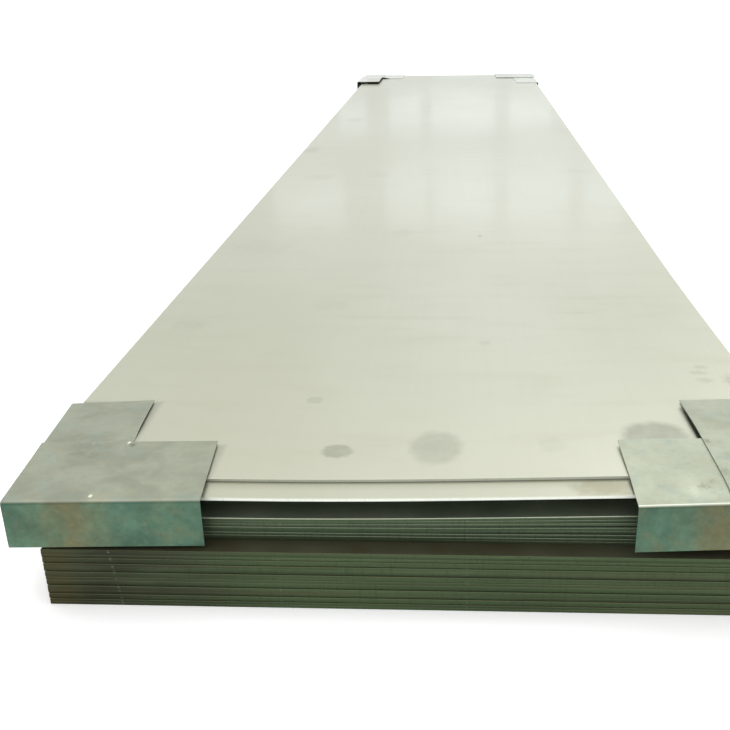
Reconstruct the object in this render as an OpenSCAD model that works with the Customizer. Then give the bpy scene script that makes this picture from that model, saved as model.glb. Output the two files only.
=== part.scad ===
// Stack of flat steel plates in storage, with bent sheet guards lapped over its four corners.
// Frame: X across the plates, Y along them, Z up.
// The origin is the middle of the underside of the bottom pack. Lengths are in millimetres.

/* [Plate] */
// Width of every plate
plate_w = 1219; // [1000:1:1600]
// Length of every plate
plate_l = 6096; // [2400:1:8000]
// Thickness of every plate
plate_t = 5; // [3:0.5:12]
// Radius of the rolled-over upper edge that the shear leaves
edge_roll = 0.8; // [0.2:0.1:1.2]

/* [Packs] */
// Plates in the lower pack
lower_count = 20; // [4:1:24]
// Plates in the upper pack
upper_count = 8; // [2:1:10]
// Plates that lie tucked in above the upper pack
tucked_count = 6; // [1:1:8]
// Distance that the upper pack lies back from the lower pack
upper_back = 31; // [0:1:60]
// Distance that the tucked plates lie back from the lower pack
tucked_back = 98; // [60:1:150]
// Distance that the cover plate lies back from the lower pack
cover_back = 29; // [0:1:60]
// Distance that the top plate lies back from the cover plate
top_back = 48; // [0:1:80]
// Distance that all the plates above the lower pack lie to its left
upper_aside = 53; // [0:1:80]

/* [Scatter] */
// Most that a plate lies forward or back of its pack
scatter_along = 1.2; // [0:0.1:4]
// Most that a plate lies left or right of its pack
scatter_across = 0.8; // [0:0.1:4]
// Turn of the highest plate of the upper pack, which fans open to the right, in degrees
fan_turn = 0.2; // [0:0.05:0.5]

/* [Guards] */
// Thickness of the guard sheet
guard_t = 2; // [1:0.5:4]
// Inside radius of a guard's bend
bend_r = 4; // [2:0.5:8]
// Depth of the flange that hangs down
guard_drop = 78; // [50:1:120]
// Length of an end guard along its bend
end_guard_l = 294; // [200:1:400]
// Width of an end guard's upper flange
end_flange_w = 186; // [150:1:240]
// Length of a side guard along its bend
side_guard_l = 316; // [250:1:500]
// Width of a side guard's upper flange
side_flange_w = 152; // [100:1:200]
// Room between the plates' ends and the inside of an end guard's bend
end_room = 16; // [2:1:40]
// Room between the plates' sides and the inside of a side guard's bend
side_room = 0; // [0:1:30]
// Distance from the plates' long side to the outer end of an end guard that lies below
end_inset = 2; // [2:1:60]
// Distance from the plates' long side to the outer end of an end guard that laps over
lap_inset = 10; // [0:1:60]
// Room between an end guard's hanging flange and the side guard behind it
side_inset = 4; // [2:1:60]
// How much shorter a side guard is where it lies under an end guard
side_cut = 136; // [0:1:180]
// Angle that the upper flange of an end guard that lies below is sprung open, in degrees
spring_open = 2; // [0:0.5:5]
// Room between a sprung end guard and what it lies on or carries
spring_room = 0.2; // [0.1:0.1:0.5]

/* [Hidden] */
$fn = 64;
pack_count = lower_count + upper_count + tucked_count;
plate_count = pack_count + 2;
stack_h = plate_count * plate_t;
bend_out = bend_r + guard_t;
bend_steps = 12;

// Pack of plate i, counted from 0 at the bottom: lower, upper, tucked, cover, top
function pack_of(i) =
    i < lower_count ? 0 :
    i < lower_count + upper_count ? 1 :
    i < pack_count ? 2 :
    i == pack_count ? 3 : 4;

// How far each pack lies back from the lower pack
pack_back = [0, upper_back, tucked_back, cover_back, cover_back + top_back];

// Even scatter between -1 and 1, from the golden angle, for the plates inside the packs
function scatter(i, phase) = i < pack_count ? sin(i * 137.5 + phase) : 0;

// Middle of plate i's front edge, and the turn about it
function plate_x(i) = (i < lower_count ? 0 : -upper_aside) + scatter_across * scatter(i, 20);
function plate_y(i) = -plate_l / 2 + pack_back[pack_of(i)] + scatter_along * scatter(i, 200);
function plate_turn(i) = pack_of(i) == 1 ? fan_turn * (i - lower_count) / (upper_count - 1) : 0;

// Outermost reach of plate i: its ends, and its sides near the front (-1) or the rear (1)
function end_swing(i) = plate_w / 2 * sin(plate_turn(i));
function plate_front(i) = plate_y(i) - end_swing(i);
function plate_rear(i) = plate_y(i) + plate_l + end_swing(i);
function plate_side(i, side, end) =
    plate_x(i) + side * plate_w / 2 - (end > 0 ? plate_l * sin(plate_turn(i)) : 0);

// Plates that the guards' hanging flanges pass, and the lines that the guards clear
flange_foot = stack_h + guard_t - guard_drop;
beside = [for (i = [0 : plate_count - 1]) if ((i + 1) * plate_t > flange_foot) i];
front_line = min([for (i = beside) plate_front(i)]);
rear_line = max([for (i = beside) plate_rear(i)]);
function side_line(side, end) =
    side * max([for (i = beside) side * plate_side(i, side, end)]);

// The guarded corners: name, side (-1 left, 1 right), end (-1 front, 1 rear),
// whether the end guard laps over the side guard, the turns of the end and side guard,
// how askew the end guard's left and right ends are cut, what the cutting added to the
// end guard's length and width and to the side guard's, and the end guard's shift outwards.
// Where the side guard laps over, the end guard below it is sprung open.
CORNERS = [
    ["front_left", -1, -1, true, 2.5, 4.4, [1.8, 2.9], [0, 0, 0, 0], 0],
    ["front_right", 1, -1, false, 2.5, 1.8, [-1.9, -1.9], [-14, 0, 0, 9], 0],
    ["rear_left", -1, 1, false, -1, -0.5, [0, 0], [-6, 90, 285, 0], 0],
    ["rear_right", 1, 1, true, 1.5, 1, [0, 0], [-10, 90, 285, 0], 22]
];
function side_of(c) = c[1];
function end_of(c) = c[2];
function end_laps(c) = c[3];
function end_turn(c) = c[4];
function side_turn(c) = c[5];
function end_skew(c) = c[6];
function end_length(c) = end_guard_l + c[7][0];
function end_width(c) = end_flange_w + c[7][1];
function side_cut_back(c) = end_laps(c) ? side_cut : 0;
function side_length(c) = side_guard_l + c[7][2] - side_cut_back(c);
function side_width(c) = side_flange_w + c[7][3];
function end_shift(c) = c[8];
function opening(c) = end_laps(c) ? 0 : spring_open;
function end_facing(c) = (end_of(c) < 0 ? 0 : 180) + end_turn(c);

// Middle of an end guard's bend
function end_bend(c) = bend_out + end_room + end_length(c) / 2 * sin(abs(end_turn(c)));
function end_guard_y(c) = end_of(c) < 0 ? front_line - end_bend(c) : rear_line + end_bend(c);
// How far the outer end of an end guard leans outwards, by its cut and its turn
function outer_skew(c) = end_skew(c)[side_of(c) * end_of(c) > 0 ? 0 : 1];
function end_lean(c) = side_of(c) * end_of(c) * end_width(c) * sin(outer_skew(c) + end_turn(c));
// Distance from the plates' side to the outer end of an end guard's bend
function end_tip(c) =
    (end_laps(c) ? lap_inset : end_inset + max(0, end_lean(c))) - end_shift(c);
function end_guard_x(c) =
    side_line(side_of(c), end_of(c)) - side_of(c) * (end_tip(c) + end_length(c) / 2);

// Middle of a side guard's bend
function side_bend(c) = bend_out + side_room + side_length(c) / 2 * sin(abs(side_turn(c)));
function side_guard_x(c) = side_line(side_of(c), end_of(c)) + side_of(c) * side_bend(c);
// Distance from the middle of the end guard's bend to the middle of the side guard
function side_step(c) =
    guard_t + side_inset + side_cut_back(c) + side_length(c) / 2
    + end_length(c) / 2 * sin(abs(end_turn(c)))
    + side_width(c) * sin(abs(side_turn(c)));
function side_guard_y(c) = end_guard_y(c) - end_of(c) * side_step(c);
function side_lift(c) = end_laps(c) ? 0 : guard_t + spring_room;

// How far a sprung pair sinks until the end guard rests on the end of the top or the cover plate
function end_gap(c, i) =
    abs((end_of(c) < 0 ? plate_front(i) : plate_rear(i)) - end_guard_y(c))
    - end_length(c) / 2 * sin(abs(end_turn(c)));
function rest_drop(c, i) =
    (end_gap(c, i) - bend_out) * tan(opening(c)) + (plate_count - 1 - i) * plate_t;
function seat_drop(c) =
    max(0, min([for (i = [pack_count : plate_count - 1]) rest_drop(c, i)]) - spring_room);
function guard_base(c) = stack_h - seat_drop(c);
function hang(c) = guard_drop - seat_drop(c);

function two_digits(n) = str(n < 10 ? "0" : "", n);
function plate_name(i) = str("plate_", two_digits(i + 1));
function end_guard_name(c) = str("end_guard_", c[0]);
function side_guard_name(c) = str("side_guard_", c[0]);

// Section of a sheared plate: square below, rolled over above
module plate_section(width) {
    difference() {
        translate([-width / 2, 0])
            square([width, plate_t]);
        for (side = [-1, 1])
            translate([side * (width / 2 - edge_roll), plate_t - edge_roll])
                rolled_corner(side);
    }
}

// What the shear rolls off one upper corner
module rolled_corner(side) {
    difference() {
        translate([side > 0 ? 0 : -2 * edge_roll, 0])
            square(2 * edge_roll);
        circle(edge_roll);
    }
}

// A plate with its underside on z = 0 and the middle of its front edge on the origin
module plate() {
    translate([0, plate_l / 2, 0])
        intersection() {
            rotate([90, 0, 0])
                linear_extrude(plate_l, center = true)
                    plate_section(plate_w);
            rotate([90, 0, 90])
                linear_extrude(plate_w, center = true)
                    plate_section(plate_l);
        }
}

module stacked_plate(i) {
    color([0.78, 0.79, 0.72])
        translate([plate_x(i), plate_y(i), i * plate_t])
            rotate(plate_turn(i))
                plate();
}

// Section of a guard: the hanging flange's outer face on x = 0, the upper flange's underside
// on y = 0 at the bend and rising from there by the opening angle
module guard_section(flange_w, drop, opening) {
    foot = guard_t - drop;
    reach = (flange_w - bend_out) * [cos(opening), sin(opening)];
    outer = bend_arc(bend_out, opening);
    inner = bend_arc(bend_r, opening);
    polygon(concat(
        [[0, foot]],
        outer,
        [outer[bend_steps] + reach, inner[bend_steps] + reach],
        [for (k = [bend_steps : -1 : 0]) inner[k]],
        [[guard_t, foot]]
    ));
}

// Arc of a bend from the hanging flange up to the upper flange, about the bend's centre
function bend_arc(r, opening) = [
    for (k = [0 : bend_steps])
        let (angle = 180 - (90 - opening) * k / bend_steps)
        [bend_out, -bend_r] + r * [cos(angle), sin(angle)]
];

// A guard whose bend runs along X, hangs on the -Y side and reaches over the plates towards +Y
module guard(length, flange_w, drop, opening = 0) {
    rotate([90, 0, 90])
        linear_extrude(length, center = true)
            guard_section(flange_w, drop, opening);
}

// The same with its left and right ends cut askew, seen from above
module skewed_guard(length, flange_w, drop, opening, skew) {
    lean = [for (angle = skew) flange_w * tan(angle)];
    intersection() {
        guard(length + 2 * max(abs(lean[0]), abs(lean[1])) + flange_w, flange_w, drop, opening);
        translate([0, 0, -drop])
            linear_extrude(drop + flange_w)
                polygon([
                    [-length / 2 + lean[0], -flange_w],
                    [length / 2 + lean[1], -flange_w],
                    [length / 2 - 2 * lean[1], 2 * flange_w],
                    [-length / 2 - 2 * lean[0], 2 * flange_w]
                ]);
    }
}

module end_guard(c) {
    color([0.62, 0.66, 0.60])
        translate([end_guard_x(c), end_guard_y(c), guard_base(c) + (end_laps(c) ? guard_t : 0)])
            rotate(end_facing(c))
                skewed_guard(end_length(c), end_width(c), hang(c), opening(c), end_skew(c));
}

module side_guard(c) {
    color([0.66, 0.69, 0.63])
        spring_up(c)
            translate([side_guard_x(c), side_guard_y(c), guard_base(c) + side_lift(c)])
                rotate((side_of(c) < 0 ? -90 : 90) + side_turn(c))
                    guard(side_length(c), side_width(c), hang(c));
}

// Turns a side guard up with the sprung flange that it lies on, about the middle of the bend
module spring_up(c) {
    facing = end_facing(c);
    inwards = bend_out * [-sin(facing), cos(facing), 0];
    pivot = [end_guard_x(c), end_guard_y(c), guard_base(c) - bend_r] + inwards;
    translate(pivot)
        rotate(facing)
            rotate([opening(c), 0, 0])
                rotate(-facing)
                    translate(-pivot)
                        children();
}

for (i = [0 : plate_count - 1])
    stacked_plate(i);
for (c = CORNERS)
    end_guard(c);
for (c = CORNERS)
    side_guard(c);
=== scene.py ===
"""Looks of a stack of pale steel plates with bent sheet guards lapped over its corners.

The frame's solids are in metres: X across the plates, Y along them, Z up.
"""
import math

import bmesh
import bpy
from mathutils import Matrix, Vector, noise


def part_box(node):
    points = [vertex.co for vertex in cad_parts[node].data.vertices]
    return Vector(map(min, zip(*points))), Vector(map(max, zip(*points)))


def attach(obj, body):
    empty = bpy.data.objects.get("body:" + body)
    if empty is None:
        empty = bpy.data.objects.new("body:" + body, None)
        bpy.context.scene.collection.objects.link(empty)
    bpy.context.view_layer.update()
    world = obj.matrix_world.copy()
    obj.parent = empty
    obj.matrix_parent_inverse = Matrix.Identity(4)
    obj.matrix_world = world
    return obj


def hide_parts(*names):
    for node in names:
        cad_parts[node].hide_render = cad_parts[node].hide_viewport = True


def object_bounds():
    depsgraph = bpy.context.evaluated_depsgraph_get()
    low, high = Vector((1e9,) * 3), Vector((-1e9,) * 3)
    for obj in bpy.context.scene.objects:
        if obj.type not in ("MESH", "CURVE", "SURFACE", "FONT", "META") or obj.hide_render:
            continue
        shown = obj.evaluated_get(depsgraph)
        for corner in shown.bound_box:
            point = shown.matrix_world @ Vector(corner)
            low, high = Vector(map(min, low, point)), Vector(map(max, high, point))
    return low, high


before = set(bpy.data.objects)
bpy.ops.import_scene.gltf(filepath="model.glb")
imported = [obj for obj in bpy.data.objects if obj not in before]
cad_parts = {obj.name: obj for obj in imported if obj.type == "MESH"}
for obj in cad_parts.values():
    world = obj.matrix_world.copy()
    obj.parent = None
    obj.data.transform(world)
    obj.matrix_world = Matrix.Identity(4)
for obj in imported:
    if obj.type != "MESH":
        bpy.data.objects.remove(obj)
cad_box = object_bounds()

# Nodes and sizes read from the frame
PLATES = sorted(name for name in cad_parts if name.startswith("plate_"))
BOTTOM, COVER, TOP = PLATES[0], PLATES[-2], PLATES[-1]
CORNERS = ("front_left", "front_right", "rear_left", "rear_right")
TOP_LOW, TOP_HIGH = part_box(TOP)
COVER_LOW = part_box(COVER)[0]
BOTTOM_LOW, BOTTOM_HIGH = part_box(BOTTOM)
PLATE_T = BOTTOM_HIGH.z - BOTTOM_LOW.z
TOP_X = (TOP_LOW.x + TOP_HIGH.x) / 2
MM = 0.001
SET_BACK = 10 * MM
UPPER = [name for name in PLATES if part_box(name)[0].y > BOTTOM_LOW.y + SET_BACK]

# Camera: place in metres, angles in degrees, lens in pixels of the square picture
PICTURE_PX = 730
CAMERA_AT = (0.0159, -4.2100, 0.8921)
CAMERA_PITCH_DOWN = 22.775
CAMERA_YAW_LEFT = 2.753
CAMERA_ROLL = -0.736
FOCAL_PX = 933.1
AXIS_PX = 415.6

# Spring of the upper plates, which stand open by the front right corner: height, the stretch of
# X over which they rise, the length over which that dies away, the plates that fan out, and the
# pitch at which their meshes are cut
SPRING_LIFT = 19 * MM
SPRING_FROM_X, SPRING_TO_X = -0.28, 0.62
SPRING_LENGTH = 1.2
FAN_PLATES = 8
BEND_CELL_X, BEND_CELL_Y = 65 * MM, 150 * MM

# Guard sheets: mesh pitch, waves and curl of the upper flange, waves of the hanging flange,
# rounding of the cut edges, and the share of the plates' spring that the bend doesn't follow
CELL = 7 * MM
FLANGE_WAVE = 1.0 * MM
EDGE_CURL = 4.0 * MM
SKIRT_WAVE = 1.2 * MM
SHEET_ROUND = 0.35 * MM
BEND_GIVE = 0.25

# Where a guard's sheet stops being stiff and where it is free to move: in from the bend, down the
# hanging flange, and out from under the guard that laps it
BEND_STIFF, BEND_FREE = 12 * MM, 70 * MM
SKIRT_STIFF, SKIRT_FREE = 10 * MM, 70 * MM
LAP_STIFF, LAP_FREE = 4 * MM, 60 * MM

# Depth of the bend that lifts with the upper flange, where a sag starts as a share of the guard's
# length, and waves per metre
BEND_DEPTH = 25 * MM
SAG_FROM = 0.6
WAVES_PER_M = 9

# Seeds of the guards' waves and clouds: the first end guard, the first side guard, the step
END_SEED, SIDE_SEED, SEED_STEP = 3.1, 7.7, 11

# Knocks in the guards: along the bend and across the upper flange as shares of their size,
# then height and radius
KNOCKS = {
    "end_guard_front_left": [(0.45, 0.09, 1.5 * MM, 8 * MM), (0.49, 0.97, 2.0 * MM, 8 * MM)],
    "end_guard_front_right": [(0.30, 0.22, 0.2 * MM, 18 * MM)],
    "side_guard_rear_right": [(0.55, 0.30, 2.0 * MM, 12 * MM)],
}

# Guards whose end away from the corner sags, and how far
SAGS = {"side_guard_front_right": 4.5 * MM, "side_guard_rear_left": 9 * MM}

# Guards whose inner edge has no curl, and rear end guards that are pressed flat from the top
# plate's rear edge on, with the gap left under them
STRAIGHT = ("side_guard_front_right", "side_guard_rear_left", "side_guard_rear_right",
            "end_guard_rear_right")
PRESSED = {"end_guard_rear_left": 0.3 * MM}

# Paleness of each guard's sheet, on the rear guards a painted sheen, and strength of the painted
# highlight on its bend
GUARD_LOOKS = {
    "end_guard_front_left": (0.0, 0.0),
    "side_guard_front_left": (0.0, 0.5),
    "end_guard_front_right": (0.5, 0.65),
    "side_guard_front_right": (0.25, 0.65),
    "end_guard_rear_left": (0.45, 0.3),
    "side_guard_rear_left": (0.35, 0.3),
    "end_guard_rear_right": (0.45, 0.3),
    "side_guard_rear_right": (0.5, 0.3),
}

# Painted highlights on knocks in the guards, and dark specks, one of them a painted shadow beside
# a knock: place on the plan, width, depth and strength
KNOCK_HIGHLIGHTS = {
    "end_guard_front_left": [
        (-0.525, -3.034, 5 * MM, 8 * MM, 0.9),
        (-0.521, -2.868, 5 * MM, 8 * MM, 0.9),
    ],
    "end_guard_front_right": [(0.361, -3.015, 14 * MM, 22 * MM, 0.15)],
}
DARK_SPECKS_AND_SHADOWS = {
    "end_guard_front_left": [
        # painted shadow beside the knock at the back edge
        (-0.514, -2.874, 9 * MM, 10 * MM, 0.6),
        (-0.587, -2.880, 50 * MM, 18 * MM, 0.2),
        (-0.590, -2.908, 45 * MM, 20 * MM, 0.15),
    ],
    "end_guard_front_right": [
        (0.378, -3.004, 18 * MM, 12 * MM, 0.3),
        (0.392, -2.993, 14 * MM, 10 * MM, 0.2),
    ],
    "side_guard_front_right": [
        (0.418, -2.971, 12 * MM, 18 * MM, 0.28),
        (0.412, -2.876, 9 * MM, 12 * MM, 0.4),
    ],
}

# How far in from the hanging flange a guard has its upper tone whatever its slope
PAST_BEND_FROM, PAST_BEND_TO = 20 * MM, 30 * MM

# Painted shade on the top plate under guards and past their rims: strength, reach past the rim,
# softness
GUARD_SHADE = {
    "side_guard_front_right": (0.75, 0, 3 * MM),
    "side_guard_rear_left": (0.9, 0, 12 * MM),
    "side_guard_front_left": (0.25, 8 * MM, 14 * MM),
    "end_guard_front_left": (0.20, 3 * MM, 12 * MM),
}

# Faint brown smears and smudges on the top plate: place, width, depth and strength
SMUDGES = [
    (0.481, -2.545, 0.024, 0.018, 0.22), (0.469, -2.574, 0.028, 0.018, 0.22),
    (0.473, -2.611, 0.028, 0.020, 0.20), (0.520, -2.610, 0.022, 0.044, 0.28),
    (-0.150, -1.503, 0.060, 0.090, 0.08), (0.081, -1.538, 0.012, 0.030, 0.35),
    (-0.277, -2.157, 0.085, 0.070, 0.07), (0.074, -2.404, 0.022, 0.024, 0.14),
    (-0.085, -2.246, 0.240, 0.024, 0.07), (0.280, -2.216, 0.070, 0.020, 0.07),
    (0.467, -0.572, 0.115, 0.060, 0.08), (-0.571, -2.295, 0.070, 0.060, 0.10),
    (-0.540, -1.657, 0.170, 0.130, 0.08), (-0.531, 0.824, 0.075, 0.150, 0.16),
    (-0.627, -0.080, 0.055, 0.130, 0.20), (-0.510, -0.671, 0.080, 0.080, 0.11),
    (-0.283, -0.637, 0.080, 0.080, 0.08),
]

# Grey round stains near the top plate's front edge, one of them half under a guard: place,
# width, depth, strength and raggedness
STAINS = [
    (-0.177, -2.879, 0.050, 0.044, 1.0, 0.15),
    (-0.017, -2.868, 0.084, 0.108, 0.75, 0.08),
    (0.339, -2.838, 0.104, 0.098, 1.2, 0.08),
    (0.169, -2.866, 0.044, 0.050, 0.18, 0.25),
    (-0.241, -2.683, 0.030, 0.028, 0.5, 0.25),
]

# Painted light and shade on the pale faces: paler from the front to the middle, duller to the
# left
PALER_FROM_Y, PALER_TO_Y = -2.6, -0.8
DULLER_FROM_X, DULLER_TO_X = -0.05, -0.55

# Ochre patch on the cover plate: place, width and depth; and the reach of the painted shade at
# the step there
COVER_OCHRE = (0.239, -2.996, 0.085, 0.050)
STEP_SHADE_W = 30 * MM

# Rust at the lower pack's front left corner: where it fades, in from the front and from the left
RUST_DEEP, RUST_GONE_DEEP = 0.05, 0.60
RUST_WIDE, RUST_GONE_WIDE = 0.05, 0.40
YELLOW_WIDE, YELLOW_GONE_WIDE = 0.02, 0.07

# Upright scuffs across the packs' front edges: X at the floor, lean per metre up, strength
SCUFFS = [(-0.4953, -0.106, 0.2), (-0.249, 0.0, 0.1), (0.033, 0.0, 0.1)]
SCUFF_W = 2.2 * MM
SCUFF_DEPTH = 20 * MM

# Ochre patches on hanging flanges: place on the plan and width
OCHRE = {
    "end_guard_front_left": (-0.553, -3.040, 0.085),
    "end_guard_front_right": (0.405, -3.040, 0.090),
}

# Floor: half its side, and how far it lies under the stack
FLOOR_REACH = 60.0
FLOOR_GAP = 0.5 * MM

# Light: the surround's strength, then soft boxes as place, aim, width, height and brightness
SURROUND = 0.95
SOFTBOXES = {
    "overhead": ((0.6, 0.4, 4.2), (0, 0.2, 0), 6.0, 9.0, 1.15),
    "right": ((4.6, 2.2, 2.2), (0.3, -1.2, 0.2), 5.0, 3.0, 0.45),
    "left": ((-3.5, -1.5, 1.6), (-0.6, -2.6, 0.2), 1.5, 1.5, 1.0),
}

# Rows of upright light panels past the far end: height of their middle, height of a panel,
# brightness, and each panel's left and right X
PANEL_Y = 7.8
PANEL_COLOUR = (0.88, 0.97, 1.06)
PANEL_ROWS = {
    "far_panel": (1.10, 0.31, 0.92,
                  [(-1.48, -1.14), (-0.85, -0.45), (-0.32, 0.47), (0.65, 1.17)]),
    "near_panel": (2.23, 0.56, 0.98,
                   [(-2.39, -1.47), (-0.92, -0.40), (-0.30, 0.48), (0.67, 1.44), (1.64, 2.15)]),
}


# Camera

def make_camera():
    """The photograph's view, with the lens axis a little right of the picture's middle."""
    lens = bpy.data.cameras.new("camera")
    lens.sensor_fit = "HORIZONTAL"
    lens.lens = FOCAL_PX / PICTURE_PX * lens.sensor_width
    lens.shift_x = (PICTURE_PX / 2 - AXIS_PX) / PICTURE_PX
    camera = bpy.data.objects.new("camera", lens)
    camera.location = CAMERA_AT
    pitch = Matrix.Rotation(math.radians(90 - CAMERA_PITCH_DOWN), 4, "X")
    yaw = Matrix.Rotation(math.radians(CAMERA_YAW_LEFT), 4, "Z")
    roll = Matrix.Rotation(math.radians(CAMERA_ROLL), 4, "Z")
    camera.rotation_euler = (yaw @ pitch @ roll).to_euler()
    bpy.context.collection.objects.link(camera)
    bpy.context.scene.camera = camera


# Node materials

class Shader:
    """Builds one node material around a Principled shader, a node at a time.

    A bent piece takes its places from before it was bent, which its mesh keeps as "rest".
    """

    def __init__(self, name, bent=False):
        self.material = bpy.data.materials.new(name)
        self.material.use_nodes = True
        self.nodes = self.material.node_tree.nodes
        self.links = self.material.node_tree.links
        self.surface = self.nodes["Principled BSDF"]
        if bent:
            self.place = self.add("Attribute", attribute_name="rest").outputs["Vector"]
        else:
            self.place = self.add("TexCoord").outputs["Object"]
        self.x, self.y, self.z = self.split(self.place)
        normal = self.add("NewGeometry").outputs["True Normal"]
        self.tilt = self.math("ABSOLUTE", self.split(normal)[2])

    def add(self, kind, inputs=(), **settings):
        """A new node; each input is a number, a colour or another node's output."""
        node = self.nodes.new("ShaderNode" + kind)
        for key, value in settings.items():
            setattr(node, key, value)
        for key, value in dict(inputs).items():
            self.feed(node.inputs[key], value)
        return node

    def feed(self, socket, value):
        if isinstance(value, bpy.types.NodeSocket):
            self.links.new(value, socket)
        else:
            socket.default_value = value

    def set(self, **values):
        """Feeds the Principled shader; underscores stand for spaces."""
        for name, value in values.items():
            self.feed(self.surface.inputs[name.replace("_", " ")], value)

    def split(self, vector):
        node = self.add("SeparateXYZ", {0: vector})
        return node.outputs[0], node.outputs[1], node.outputs[2]

    def math(self, operation, *values):
        return self.add("Math", dict(enumerate(values)), operation=operation).outputs[0]

    def plus(self, *values):
        total = values[0]
        for value in values[1:]:
            total = self.math("ADD", total, value)
        return total

    def times(self, *values):
        total = values[0]
        for value in values[1:]:
            total = self.math("MULTIPLY", total, value)
        return total

    def stretch(self, x, y, z, shift=0.0):
        """The place, scaled along each axis and moved."""
        node = self.add("VectorMath", {0: self.place, 1: (x, y, z), 2: (shift, shift, shift)},
                        operation="MULTIPLY_ADD")
        return node.outputs[0]

    def noise(self, vector, scale=1.0, detail=3.0, rough=0.5, warp=0.0):
        node = self.add("TexNoise", {"Vector": vector, "Scale": scale, "Detail": detail,
                                     "Roughness": rough, "Distortion": warp})
        return node.outputs["Fac"]

    def ease(self, value, low, high, to_low=0.0, to_high=1.0):
        """A smooth step of the value from one range to another."""
        node = self.add("MapRange", {0: value, 1: low, 2: high, 3: to_low, 4: to_high},
                        interpolation_type="SMOOTHSTEP")
        return node.outputs[0]

    def mix(self, amount, first, second):
        """The first colour, or the second where the amount is 1."""
        node = self.add("Mix", data_type="RGBA", blend_type="MIX")
        self.feed(node.inputs["Factor"], amount)
        self.feed(node.inputs[6], first)
        self.feed(node.inputs[7], second)
        return node.outputs[2]

    def bump(self, height, distance):
        return self.add("Bump", {"Height": height, "Distance": distance}).outputs[0]

    def spot(self, x, y, wide, deep, ragged=0.25, soft=0.25):
        """1 inside an uneven oval on the plan, fading to 0 outside."""
        across = self.math("DIVIDE", self.math("SUBTRACT", self.x, x), wide / 2)
        along = self.math("DIVIDE", self.math("SUBTRACT", self.y, y), deep / 2)
        reach = self.math("SQRT", self.plus(self.times(across, across), self.times(along, along)))
        wobble = self.noise(self.stretch(1, 1, 0, shift=x), scale=4 / wide, detail=3)
        reach = self.plus(reach, self.ease(wobble, 0.2, 0.8, -ragged, ragged))
        return self.ease(reach, 1 - soft, 1 + soft, 1.0, 0.0)

    def specks(self, marks, ragged=0.5, soft=0.5):
        """The strongest of several uneven ovals, each with its own strength."""
        most = 0.0
        for x, y, wide, deep, strength in marks:
            mark = self.times(self.spot(x, y, wide, deep, ragged, soft), strength)
            most = self.math("MAXIMUM", most, mark)
        return most

    def inside(self, box, past, soft):
        """1 on the plan of a box grown by a reach past its rim, fading to 0 there."""
        low, high = box
        low, high = low - Vector((past, past, 0)), high + Vector((past, past, 0))
        reach = self.math("SUBTRACT", self.x, low.x)
        for gap in (self.math("SUBTRACT", high.x, self.x), self.math("SUBTRACT", self.y, low.y),
                    self.math("SUBTRACT", high.y, self.y)):
            reach = self.math("MINIMUM", reach, gap)
        return self.ease(reach, 0, soft)


def rgb(red, green, blue):
    """A colour from its screen values, 0 to 255."""
    def linear(value):
        value /= 255
        return value / 12.92 if value <= 0.04045 else ((value + 0.055) / 1.055) ** 2.4
    return (linear(red), linear(green), linear(blue), 1.0)


def sheared_edge(s, dull, clean, burnish_and_highlight, seam_and_shade, scratched=0.35):
    """Colour of a plate's cut edge: burnished in its upper part, strong enough on some plates to
    be a painted highlight, and torn and dark at its foot, where painted shade also stands for the
    gap to the plate below.
    """
    level = s.math("DIVIDE", s.z, PLATE_T)
    height = s.math("FRACT", level)
    index = s.math("FLOOR", level)
    tint = s.add("TexWhiteNoise", {"W": index}, noise_dimensions="1D").outputs["Value"]
    along = s.noise(s.stretch(2.3, 2.3, 60), detail=3)
    scratches = s.noise(s.stretch(330, 330, 22), detail=2)

    shade = s.plus(s.times(tint, 0.5), s.ease(along, 0.3, 0.7, 0.0, 0.5))
    colour = s.mix(shade, dull, clean)
    # Burnished band; a strong burnish is a painted highlight
    colour = s.mix(s.ease(height, 0.60, 0.85, 0.0, burnish_and_highlight), colour, rgb(150, 158, 132))
    # Torn dark foot, also painted shade of the gap between plates
    colour = s.mix(s.ease(height, 0.25, 0.0, 0.0, seam_and_shade), colour, rgb(14, 18, 13))
    return s.mix(s.ease(scratches, 0.5, 0.75, 0.0, scratched), colour, rgb(34, 41, 29))


def rust_at_left(s, colour):
    """Yellow-brown rust on the edges, mostly by the front left corner of the lower pack."""
    rust = s.noise(s.stretch(7, 7, 25, shift=4), detail=4)
    left, front = BOTTOM_LOW.x, BOTTOM_LOW.y
    near = s.ease(s.y, front + RUST_DEEP, front + RUST_GONE_DEEP, 1.0, 0.25)
    corner = s.times(s.ease(s.x, left + RUST_WIDE, left + RUST_GONE_WIDE, 1.0, 0.12), near)
    brown = s.times(corner, s.ease(rust, 0.25, 0.60, 0.45, 0.95))
    yellow = s.times(s.ease(s.x, left + YELLOW_WIDE, left + YELLOW_GONE_WIDE, 0.6, 0.0), near)
    colour = s.mix(brown, colour, rgb(35, 34, 20))
    return s.mix(s.times(yellow, s.ease(rust, 0.20, 0.50, 0.4, 1.0)), colour, rgb(63, 57, 22))


def scuff_marks(s, colour):
    """Rows of pale specks where something was drawn up or down the packs' front edges."""
    specks = s.ease(s.noise(s.stretch(60, 60, 260, shift=9), detail=2), 0.50, 0.62)
    front = s.ease(s.y, TOP_LOW.y, TOP_LOW.y + SCUFF_DEPTH, 1.0, 0.0)
    for foot_x, lean, strength in SCUFFS:
        gap = s.math("ABSOLUTE", s.math("SUBTRACT", s.x, s.plus(s.times(s.z, lean), foot_x)))
        mark = s.times(s.ease(gap, 0.3 * SCUFF_W, SCUFF_W, 1.0, 0.0), front, specks, strength)
        colour = s.mix(mark, colour, rgb(176, 180, 158))
    return colour


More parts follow.
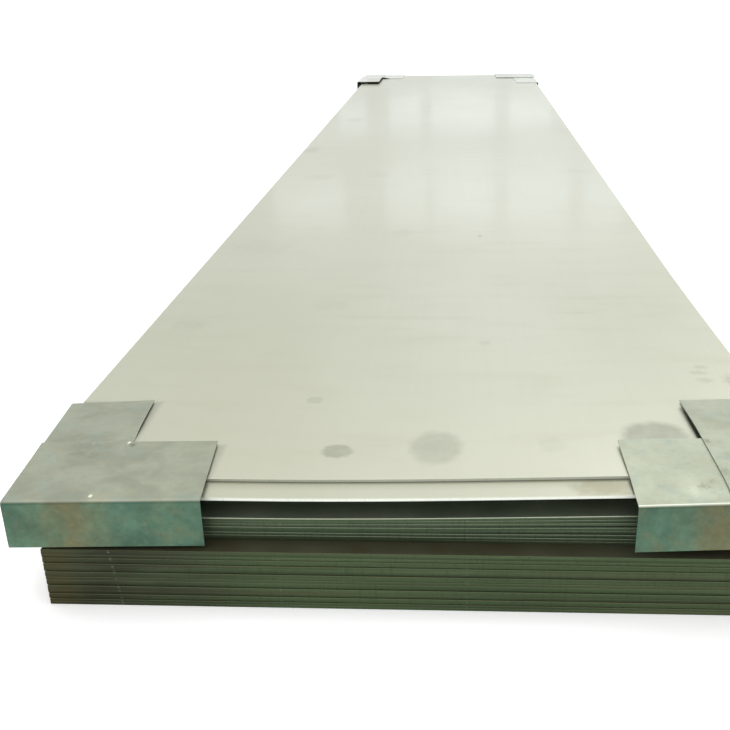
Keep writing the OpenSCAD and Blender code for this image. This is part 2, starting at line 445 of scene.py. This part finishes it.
def pale_face(s):
    """Colour and roughness of a clean mill-finished face, with faint lines along the length,
    painted light towards the middle and painted shade to the left.
    """
    clouds = s.noise(s.stretch(1.7, 0.8, 1.0), detail=4)
    lines = s.noise(s.stretch(70, 1.1, 1.0), detail=3)
    colour = s.mix(s.ease(clouds, 0.3, 0.7), rgb(177, 179, 161), rgb(187, 189, 172))
    colour = s.mix(s.ease(lines, 0.42, 0.72, 0.0, 0.02), colour, rgb(144, 146, 130))
    wipes = s.noise(s.stretch(4, 15, 1.0, shift=3), detail=5, warp=0.4)
    colour = s.mix(s.ease(wipes, 0.45, 0.75, 0.0, 0.16), colour, rgb(156, 155, 128))
    # Painted light, paler towards the middle
    middle_light = s.ease(s.y, PALER_FROM_Y, PALER_TO_Y, 0.0, 0.38)
    colour = s.mix(middle_light, colour, rgb(198, 201, 186))
    # Painted shade, duller to the left
    left_shade = s.ease(s.x, DULLER_FROM_X, DULLER_TO_X, 0.0, 0.25)
    colour = s.mix(left_shade, colour, rgb(168, 169, 146))
    rough = s.plus(s.ease(clouds, 0.3, 0.7, 0.44, 0.38), s.ease(lines, 0.3, 0.7, -0.006, 0.006))
    return colour, rough


def finish_plate(s, face_colour, face_rough, edge_colour, face_metal=0.85, roll_highlight=0.7,
                 roll_highlight_colour=rgb(196, 200, 180)):
    """Puts the face, the rolled-over corner with a painted highlight and the cut edge together.
    """
    face = s.ease(s.tilt, 0.90, 0.995)
    roll = s.times(s.ease(s.tilt, 0.08, 0.35), s.ease(face, 0.0, 1.0, 1.0, 0.0))
    grain = s.noise(s.stretch(60, 60, 60), detail=2)
    colour = s.mix(face, edge_colour, face_colour)
    # Painted highlight on the rolled-over corner
    s.set(Base_Color=s.mix(s.times(roll, roll_highlight), colour, roll_highlight_colour),
          Metallic=s.plus(s.times(face, face_metal), s.ease(face, 0, 1, 0.35, 0.0)),
          Roughness=s.plus(s.times(face, face_rough), s.ease(face, 0, 1, 0.5, 0.0)),
          Normal=s.bump(grain, 0.03 * MM))
    return s.material


def top_plate_steel():
    """The clean top plate with handling marks, and painted shade under and beside the guards."""
    s = Shader("top_plate_steel", bent=True)
    colour, rough = pale_face(s)
    stains = [s.times(s.spot(x, y, wide, deep, ragged), strength)
              for x, y, wide, deep, strength, ragged in STAINS]
    film = s.noise(s.stretch(35, 35, 1), detail=2)
    stain = s.times(s.plus(*stains), s.ease(film, 0.25, 0.7, 0.8, 1.0))
    colour = s.mix(s.times(stain, 0.5), colour, rgb(120, 122, 105))
    colour = s.mix(s.specks(SMUDGES, soft=0.7), colour, rgb(112, 106, 82))
    # Painted shade under the guards and past their rims
    for guard, (strength, past, soft) in GUARD_SHADE.items():
        painted_shade = s.times(s.inside(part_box(guard), past, soft), strength)
        colour = s.mix(painted_shade, colour, rgb(34, 36, 28))
    s.set(Coat_Weight=0.3, Coat_Roughness=0.13)
    edge = sheared_edge(s, rgb(198, 201, 184), rgb(216, 219, 204), 0.0, 0.6, scratched=0.1)
    return finish_plate(s, colour, s.plus(rough, s.times(stain, 0.05)), edge)


def cover_plate_steel():
    """The second plate, of which a clean strip shows in front of the top plate, with painted
    shade along the step below the top plate's edge.
    """
    s = Shader("cover_plate_steel", bent=True)
    colour, rough = pale_face(s)
    ochre = s.spot(*COVER_OCHRE, ragged=0.35, soft=0.6)
    colour = s.mix(s.times(ochre, 0.6), colour, rgb(132, 126, 92))
    # Painted shade on the strip, darkest at the step under the top plate's edge
    step_shade = s.ease(s.y, TOP_LOW.y - STEP_SHADE_W, TOP_LOW.y, 0.10, 0.45)
    colour = s.mix(step_shade, colour, rgb(132, 134, 112))
    s.set(Coat_Weight=0.3, Coat_Roughness=0.13)
    edge = sheared_edge(s, rgb(222, 229, 215), rgb(240, 246, 234), 0.0, 0.3, scratched=0.1)
    return finish_plate(s, colour, rough, edge)


def pack_plate_steel(name, face, edges, burnish_and_highlight, seam_and_shade, face_shade, roll_highlight, roll_highlight_colour, bent):
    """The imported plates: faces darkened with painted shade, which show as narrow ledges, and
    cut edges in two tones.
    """
    s = Shader(name, bent)
    film = s.noise(s.stretch(9, 9, 9), detail=4)
    colour = s.mix(s.ease(film, 0.3, 0.7, 0.0, 0.25), face, rgb(160, 164, 148))
    # Painted shade on the faces, which show only as ledges in the shade of the plates above
    colour = s.mix(face_shade, colour, rgb(30, 32, 20))
    s.set(Specular_IOR_Level=0.25)
    edge = sheared_edge(s, *edges, burnish_and_highlight, seam_and_shade)
    streaks = s.noise(s.stretch(0.9, 0.9, 150), detail=3)
    edge = s.mix(s.ease(streaks, 0.50, 0.72, 0.0, 0.45), edge, rgb(86, 76, 56))
    rough = s.ease(film, 0.3, 0.7, 0.36, 0.5)
    edge = scuff_marks(s, rust_at_left(s, edge))
    return finish_plate(s, colour, rough, edge, 0.4, roll_highlight, roll_highlight_colour)


def inward(s, guard):
    """How far a place on a guard is from its hanging flange, on the plan."""
    low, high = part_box(guard)
    if guard.startswith("end"):
        place, least, most, from_least = s.y, low.y, high.y, "front" in guard
    else:
        place, least, most, from_least = s.x, low.x, high.x, "left" in guard
    if from_least:
        return s.math("SUBTRACT", place, least)
    return s.math("SUBTRACT", most, place)


def upper_flange(s, name, shift, pale_and_sheen, clouds, blue, fine):
    """Cloudy grey of a guard's upper flange, paler as painted sheen on the rear guards, with dark
    specks and painted highlights and a painted shadow at its knocks.
    """
    yellow = s.ease(s.noise(s.stretch(21, 21, 21, shift + 19), detail=4, warp=0.3), 0.52, 0.70)
    flat = s.mix(s.ease(clouds, 0.3, 0.7), rgb(132, 136, 118), rgb(147, 152, 133))
    # Paleness; on the rear guards it is a painted sheen of grazing reflection
    flat = s.mix(pale_and_sheen, flat, rgb(180, 188, 167))
    flat = s.mix(s.times(blue, 0.28), flat, rgb(130, 149, 141))
    flat = s.mix(s.times(yellow, 0.30), flat, rgb(158, 154, 125))
    flat = s.mix(s.ease(fine, 0.45, 0.75, 0.0, 0.18), flat, rgb(110, 116, 100))
    # Painted highlights on the knocks, then dark specks with a painted shadow beside one knock
    flat = s.mix(s.specks(KNOCK_HIGHLIGHTS.get(name, [])), flat, rgb(226, 228, 212))
    return s.mix(s.specks(DARK_SPECKS_AND_SHADOWS.get(name, []), ragged=0.9), flat, rgb(72, 78, 64))


def hanging_flange(s, shift, ochre_at, clouds, blue, fine):
    """Green bloom and ochre patches of a guard's hanging flange, on a dark tone that is partly
    painted shade.
    """
    # Dark green base: green bloom, darkened with painted shade
    hung = s.mix(s.ease(clouds, 0.3, 0.7), rgb(60, 90, 71), rgb(82, 115, 93))
    hung = s.mix(s.times(blue, 0.4), hung, rgb(60, 94, 82))
    speckle = s.noise(s.stretch(34, 34, 34, shift + 31), detail=4, warp=0.5)
    patch = s.ease(speckle, 0.52, 0.70, 0.0, 0.4)
    if ochre_at:
        near = s.spot(*ochre_at, 1.0, ragged=0.3, soft=0.9)
        patch = s.math("MAXIMUM", patch, s.times(near, s.ease(speckle, 0.25, 0.55, 0.4, 1.0)))
    hung = s.mix(s.times(patch, 0.75), hung, rgb(108, 101, 66))
    hung = s.mix(s.ease(fine, 0.45, 0.75, 0.0, 0.40), hung, rgb(54, 78, 61))
    return s.mix(s.ease(fine, 0.50, 0.25, 0.0, 0.30), hung, rgb(106, 127, 104))


def guard_sheet(name, shift, pale_and_sheen, bend_highlight, ochre_at):
    """Galvanised sheet in two tones, the hanging flange darker partly with painted shade, and a
    painted highlight along the bend between them.
    """
    s = Shader("guard_sheet_" + name)
    clouds = s.noise(s.stretch(18, 18, 18, shift), detail=5, warp=0.5)
    blue = s.ease(s.noise(s.stretch(24, 24, 24, shift + 7), detail=4, warp=0.3), 0.50, 0.68)
    fine = s.noise(s.stretch(95, 95, 95, shift + 43), detail=5, rough=0.65)
    flat = upper_flange(s, name, shift, pale_and_sheen, clouds, blue, fine)
    hung = hanging_flange(s, shift, ochre_at, clouds, blue, fine)

    # Upper tone on the top and past the bend; the darker hanging tone on upright faces is partly
    # painted shade
    past_bend = s.ease(inward(s, name), PAST_BEND_FROM, PAST_BEND_TO)
    top = s.math("MAXIMUM", s.ease(s.tilt, 0.50, 0.80), past_bend)
    # Painted highlight along the bend, in near white
    bend = s.times(s.ease(s.tilt, 0.76, 0.86), s.ease(s.tilt, 0.992, 0.965))
    colour = s.mix(top, hung, flat)
    colour = s.mix(s.times(bend, bend_highlight), colour, rgb(236, 240, 226))
    grain = s.noise(s.stretch(120, 120, 120, shift), detail=3)
    if "rear" in name:
        s.set(Coat_Weight=0.9, Coat_Roughness=0.15)
    s.set(Base_Color=colour, Metallic=0.5,
          Roughness=s.plus(s.ease(clouds, 0.3, 0.7, 0.50, 0.38), s.times(bend, -0.1)),
          Normal=s.bump(grain, 0.05 * MM))
    return s.material


# Sprung plates: the upper plates, cut into cells and bent up by the front right corner

def slice_up(bm, axis, pitch, span=None):
    """Cuts the mesh by planes across an axis, evenly over its own reach or a given span."""
    reach = [v.co.dot(axis) for v in bm.verts]
    low, high = span or (min(reach), max(reach))
    count = max(1, round((high - low) / pitch))
    for k in range(1, count):
        everything = bm.verts[:] + bm.edges[:] + bm.faces[:]
        bmesh.ops.bisect_plane(bm, geom=everything, plane_no=axis, dist=1e-6,
                               plane_co=axis * (low + (high - low) * k / count))
    return low, high


def step(value, low, high):
    """A smooth step from 0 to 1."""
    share = min(1.0, max(0.0, (value - low) / (high - low)))
    return share * share * (3 - 2 * share)


def spring(x, y):
    """How far the top of the stack stands up at a place on the plan."""
    fade = step(y, COVER_LOW.y, COVER_LOW.y + SPRING_LENGTH)
    return SPRING_LIFT * step(x, SPRING_FROM_X, SPRING_TO_X) * (1 - fade)


def open_mesh(name):
    """A node's mesh as an editable copy, with its flat faces whole."""
    bm = bmesh.new()
    bm.from_mesh(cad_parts[name].data)
    bmesh.ops.remove_doubles(bm, verts=bm.verts, dist=0.01 * MM)
    bmesh.ops.dissolve_limit(bm, angle_limit=math.radians(0.5), verts=bm.verts, edges=bm.edges)
    return bm


def close_mesh(bm, name, node, material, sharp):
    """A piece from the edited mesh, in place of its CAD node."""
    mesh = bpy.data.meshes.new(name)
    bmesh.ops.recalc_face_normals(bm, faces=bm.faces)
    bm.to_mesh(mesh)
    bm.free()
    mesh.materials.append(material)
    mesh.shade_smooth()
    mesh.set_sharp_from_angle(angle=math.radians(sharp))
    piece = bpy.data.objects.new(name, mesh)
    bpy.context.collection.objects.link(piece)
    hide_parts(node)
    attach(piece, "root")
    return piece


def bend_plate(name, material):
    """An upper plate, bent up with those below it; the lowest stays flat.

    All are cut and split into triangles alike, so that neighbours lie on each other.
    """
    share = min(1.0, UPPER.index(name) / FAN_PLATES)
    bm = open_mesh(name)
    slice_up(bm, Vector((1, 0, 0)), BEND_CELL_X, (cad_box[0].x, cad_box[1].x))
    slice_up(bm, Vector((0, 1, 0)), BEND_CELL_Y, (cad_box[0].y, cad_box[1].y))
    rest = bm.verts.layers.float_vector.new("rest")
    for vert in bm.verts:
        vert[rest] = vert.co
        vert.co.z += share * spring(vert.co.x, vert.co.y)
    bmesh.ops.triangulate(bm, faces=bm.faces, quad_method="SHORT_EDGE")
    close_mesh(bm, name + "_bent", name, material, sharp=3)


# Guards: the CAD sheets, cut into a fine mesh and knocked a little out of flat

def bend_axes(mesh, middle):
    """Directions of a guard: along its bend and out of its hanging flange."""
    upright = [f for f in mesh.polygons if abs(f.normal.z) < 0.1]
    outward = [f for f in upright if f.normal.dot(f.center - middle) > 0]
    out = Vector((0, 0, 0))
    widest = max(outward, key=lambda f: f.area)
    for face in outward:
        if face.normal.dot(widest.normal) > 0.99:
            out += face.normal * face.area
    out.z = 0
    out.normalize()
    return Vector((0, 0, 1)).cross(out), out


def clear_of(point, box):
    """0 on the plan of a box and close to it, 1 well outside it."""
    low, high = box
    gap = max(low.x - point.x, point.x - high.x, low.y - point.y, point.y - high.y)
    return step(gap, LAP_STIFF, LAP_FREE)


def make_guard(name, partner, laps, material, seed):
    """The guard's sheet with waves, curled edges and knocks, in place of its CAD node."""
    along, out = bend_axes(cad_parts[name].data, Vector((TOP_X, 0, TOP_HIGH.z)))
    low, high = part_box(name)
    top = high.z
    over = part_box(partner)
    curl = 0.0 if name in STRAIGHT else EDGE_CURL
    bm = open_mesh(name)
    first, last = slice_up(bm, along, CELL)
    inner, outer = slice_up(bm, out, CELL)
    slice_up(bm, Vector((0, 0, 1)), CELL)
    rim = min(vert.co.z for vert in bm.verts if vert.co.dot(out) < inner + CELL)
    drop = seat = 0.0
    if name in PRESSED:
        drop = rim - TOP_HIGH.z - PRESSED[name]
        seat = outer - Vector(((low.x + high.x) / 2, TOP_HIGH.y, 0)).dot(out)

    for vert in bm.verts:
        u = (vert.co.dot(along) - first) / (last - first)
        across = outer - vert.co.dot(out)
        depth = top - vert.co.z
        spread = Vector((u * (last - first), across, 0)) * WAVES_PER_M
        ripple = 0.5 + 0.5 * noise.noise(spread + Vector((seed, 0, 0)))
        wave = 0.5 + 0.5 * noise.noise(spread * 0.5 + Vector((0, seed, 3)))
        free = 1.0 if laps else clear_of(vert.co, over)
        share = across / (outer - inner)
        flange = step(across, BEND_STIFF, BEND_FREE)
        lift = flange * (FLANGE_WAVE * ripple + curl * share ** 3 * wave)
        if drop:
            lift = -drop * max(0.0, (across - seat) / (outer - inner - seat))
        for at, far, height, radius in KNOCKS.get(name, []):
            gap = math.hypot((u - at) * (last - first), (share - far) * (outer - inner))
            lift += height * (1 - step(gap, 0, radius))
        if depth < BEND_DEPTH or across > BEND_STIFF:
            vert.co.z += lift * free
        hung = step(depth, SKIRT_STIFF, SKIRT_FREE) * (1 - flange)
        vert.co += out * SKIRT_WAVE * wave * hung
        give = BEND_GIVE * (1 - step(vert.co.y, cad_box[0].y, TOP_LOW.y))
        vert.co.z += (1 - give) * spring(vert.co.x, vert.co.y)
        vert.co.z -= SAGS.get(name, 0.0) * step(u, SAG_FROM, 1.0)

    piece = close_mesh(bm, name + "_sheet", name, material, sharp=35)
    rounding = piece.modifiers.new("rounding", "BEVEL")
    rounding.width = SHEET_ROUND
    rounding.segments = 2
    rounding.limit_method = "ANGLE"
    rounding.angle_limit = math.radians(50)


def make_guards():
    """Both guards of each corner; the one that reaches higher laps over the other."""
    for k, corner in enumerate(CORNERS):
        end, side = "end_guard_" + corner, "side_guard_" + corner
        end_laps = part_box(end)[1].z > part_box(side)[1].z
        pair = ((end, side, end_laps, END_SEED), (side, end, not end_laps, SIDE_SEED))
        for name, partner, laps, first_seed in pair:
            seed = first_seed + SEED_STEP * k
            sheet = guard_sheet(name, seed, *GUARD_LOOKS[name], OCHRE.get(name))
            make_guard(name, partner, laps, sheet, seed)


def dress_plates():
    """Gives each plate its material; the lower pack keeps its CAD solids, the rest are bent."""
    # Edge colours: dark olive oxide of the cut edges, darkened further with painted shade of the
    # front edges turned from the light; teal is the painted bluish tint of the shade under the
    # cover plate
    olive = (rgb(50, 64, 38), rgb(74, 93, 60))
    green = (rgb(48, 66, 44), rgb(84, 106, 76))
    teal = (rgb(50, 72, 58), rgb(80, 110, 96))
    # Face colours: brown for the lower pack and blue for the upper pack, whose faces show only in
    # shade; the blue is a painted tint of that shade
    brown_face, blue_face = rgb(112, 108, 80), rgb(100, 111, 94)
    # Painted highlights on the rolled corners: pale on exposed edges, dull on the packed plates
    # where they lighten the crevices
    dull_highlight, pale_highlight = rgb(104, 112, 84), rgb(196, 200, 180)
    lower = pack_plate_steel("lower_plate_steel", brown_face, olive, burnish_and_highlight=0.06, seam_and_shade=0.0,
                             face_shade=0.6, roll_highlight=0.6, roll_highlight_colour=dull_highlight, bent=False)
    lower_ledge = pack_plate_steel("lower_ledge_steel", brown_face, olive, burnish_and_highlight=0.0, seam_and_shade=0.0,
                                   face_shade=0.6, roll_highlight=0.3, roll_highlight_colour=dull_highlight, bent=False)
    upper = pack_plate_steel("upper_plate_steel", blue_face, green, burnish_and_highlight=0.35, seam_and_shade=0.4,
                             face_shade=0.5, roll_highlight=0.20, roll_highlight_colour=pale_highlight, bent=True)
    # The upper pack's top plate: strong burnish and rolled corner, a painted highlight along its
    # front edge
    upper_ledge = pack_plate_steel("upper_ledge_steel", blue_face, green, burnish_and_highlight=0.9, seam_and_shade=0.5,
                                   face_shade=0.0, roll_highlight=1.0, roll_highlight_colour=rgb(214, 218, 198),
                                   bent=True)
    # Plates under the cover, in deep shade: a copy with lighter teal edges, a painted tint of the
    # shade
    shade_tinted = pack_plate_steel("shade_tinted_plate_steel", blue_face, teal, burnish_and_highlight=0.1, seam_and_shade=0.3,
                              face_shade=0.5, roll_highlight=0.10, roll_highlight_colour=pale_highlight, bent=True)
    finishes = {TOP: top_plate_steel(), COVER: cover_plate_steel()}
    for name, above in zip(PLATES, PLATES[1:]):
        inside, ledge = (upper, upper_ledge) if name in UPPER else (lower, lower_ledge)
        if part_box(name)[0].y > COVER_LOW.y + SET_BACK:
            inside = shade_tinted
        set_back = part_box(above)[0].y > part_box(name)[0].y + SET_BACK
        finishes.setdefault(name, ledge if set_back else inside)
    for name, material in finishes.items():
        if name in UPPER:
            bend_plate(name, material)
        else:
            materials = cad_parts[name].data.materials
            materials.clear()
            materials.append(material)


# Stage and light

def make_floor():
    """A plain pale floor under the stack."""
    mesh = bpy.data.meshes.new("floor")
    signs = ((-1, -1), (1, -1), (1, 1), (-1, 1))
    corners = [(FLOOR_REACH * x, FLOOR_REACH * y, 0) for x, y in signs]
    mesh.from_pydata(corners, [], [(0, 1, 2, 3)])
    floor = bpy.data.objects.new("floor", mesh)
    floor.location.z = cad_box[0].z - FLOOR_GAP
    bpy.context.collection.objects.link(floor)
    s = Shader("pale_floor")
    s.set(Base_Color=(0.95, 0.95, 0.95, 1.0), Roughness=0.9, Specular_IOR_Level=0.1,
          Emission_Color=(1.0, 1.0, 1.0, 1.0), Emission_Strength=0.3)
    mesh.materials.append(s.material)


def softbox(name, at, aim, width, height, glow, colour=(1.0, 1.0, 1.0)):
    """An area light of a given brightness that the camera doesn't see."""
    lamp = bpy.data.lights.new(name, "AREA")
    lamp.color = colour
    lamp.shape = "RECTANGLE"
    lamp.size, lamp.size_y = width, height
    lamp.energy = glow * math.pi * width * height
    light = bpy.data.objects.new(name, lamp)
    light.location = at
    light.rotation_euler = (Vector(aim) - Vector(at)).to_track_quat("-Z", "Y").to_euler()
    light.visible_camera = False
    bpy.context.collection.objects.link(light)


def panel_row(name, middle, height, glow, panels):
    """A row of upright light panels past the far end, which the top plate mirrors softly."""
    for k, (left, right) in enumerate(panels):
        x = (left + right) / 2
        softbox(f"{name}_{k}", (x, PANEL_Y, middle), (x, 0, middle), right - left, height, glow,
                PANEL_COLOUR)


def make_light():
    """Soft studio light: a pale surround, large soft boxes and two rows of panels."""
    world = bpy.data.worlds.new("surround")
    bpy.context.scene.world = world
    world.use_nodes = True
    surround = world.node_tree.nodes["Background"].inputs
    surround["Color"].default_value = (1.0, 1.0, 1.0, 1.0)
    surround["Strength"].default_value = SURROUND
    for name, values in SOFTBOXES.items():
        softbox(name, *values)
    for name, values in PANEL_ROWS.items():
        panel_row(name, *values)
    bpy.context.scene.view_settings.view_transform = "Standard"


make_camera()
dress_plates()
make_guards()
make_floor()
make_light()
